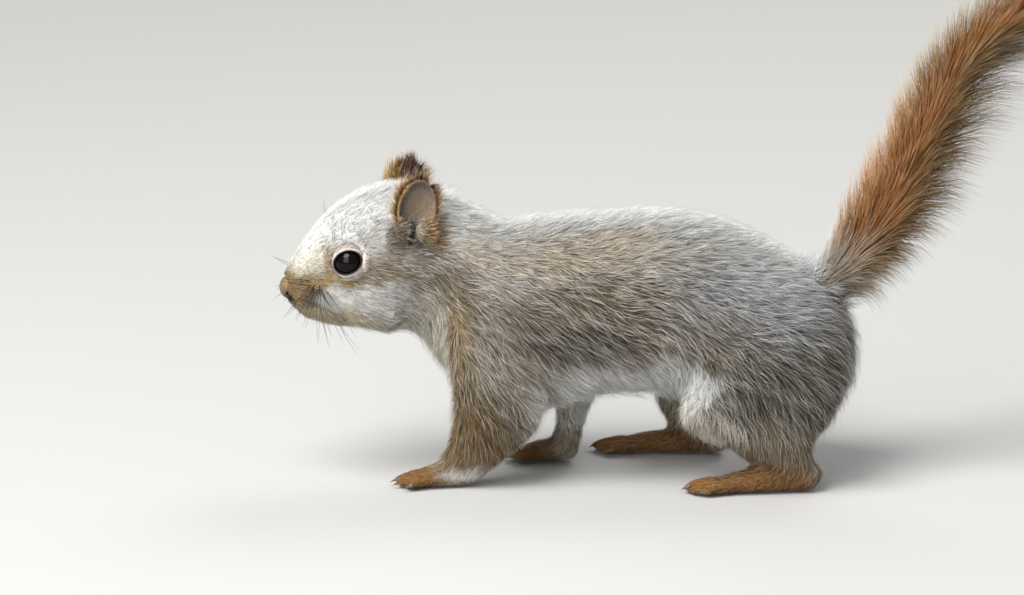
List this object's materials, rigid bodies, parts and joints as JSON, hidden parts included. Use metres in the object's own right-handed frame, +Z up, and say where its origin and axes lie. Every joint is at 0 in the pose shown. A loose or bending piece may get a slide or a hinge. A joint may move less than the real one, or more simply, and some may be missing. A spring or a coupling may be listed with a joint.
{
  "type": "red squirrel",
  "caption": "Still, life-size red squirrel standing on four feet with a pale back and its bushy tail raised behind it.",
  "frame": {"origin": "middle of the bounding box at floor level, where the soles rest", "axes": "-X is the way the squirrel faces and +X is towards its tail, +Y is its right side, +Z is up"},
  "size_m": [0.2852, 0.0684, 0.1761],
  "materials": {
    "pale_coat": "soft white to pale grey fur of the crown, nape and back",
    "grey_coat": "ticked grey-brown fur of the flanks and haunches",
    "tan_coat": "ticked warm tan fur of the shoulders, forelegs and muzzle",
    "rusty_coat": "rust-orange fur of the tail and feet",
    "dark_coat": "short dark brown fur of the ears",
    "dark_skin": "bare satin skin of the nose pad",
    "eye": "wet gloss, near black"
  },
  "bodies": {
    "root": {"head": "pale_coat", "muzzle": "tan_coat", "nose": "dark_skin", "eye_left": "eye", "eye_right": "eye", "ear_left": "dark_coat", "ear_right": "dark_coat", "neck": "pale_coat", "chest": "grey_coat", "loin": "grey_coat", "rump": "grey_coat", "upper_arm_left": "tan_coat", "upper_arm_right": "tan_coat", "forearm_left": "tan_coat", "forearm_right": "tan_coat", "forefoot_left": "rusty_coat", "forefoot_right": "rusty_coat", "thigh_left": "grey_coat", "thigh_right": "grey_coat", "shank_left": "grey_coat", "shank_right": "grey_coat", "hindfoot_left": "rusty_coat", "hindfoot_right": "rusty_coat", "tail_root": "rusty_coat", "tail_lower": "rusty_coat", "tail_middle": "rusty_coat", "tail_upper": "rusty_coat", "tail_tip": "rusty_coat"}
  },
  "joints": []
}
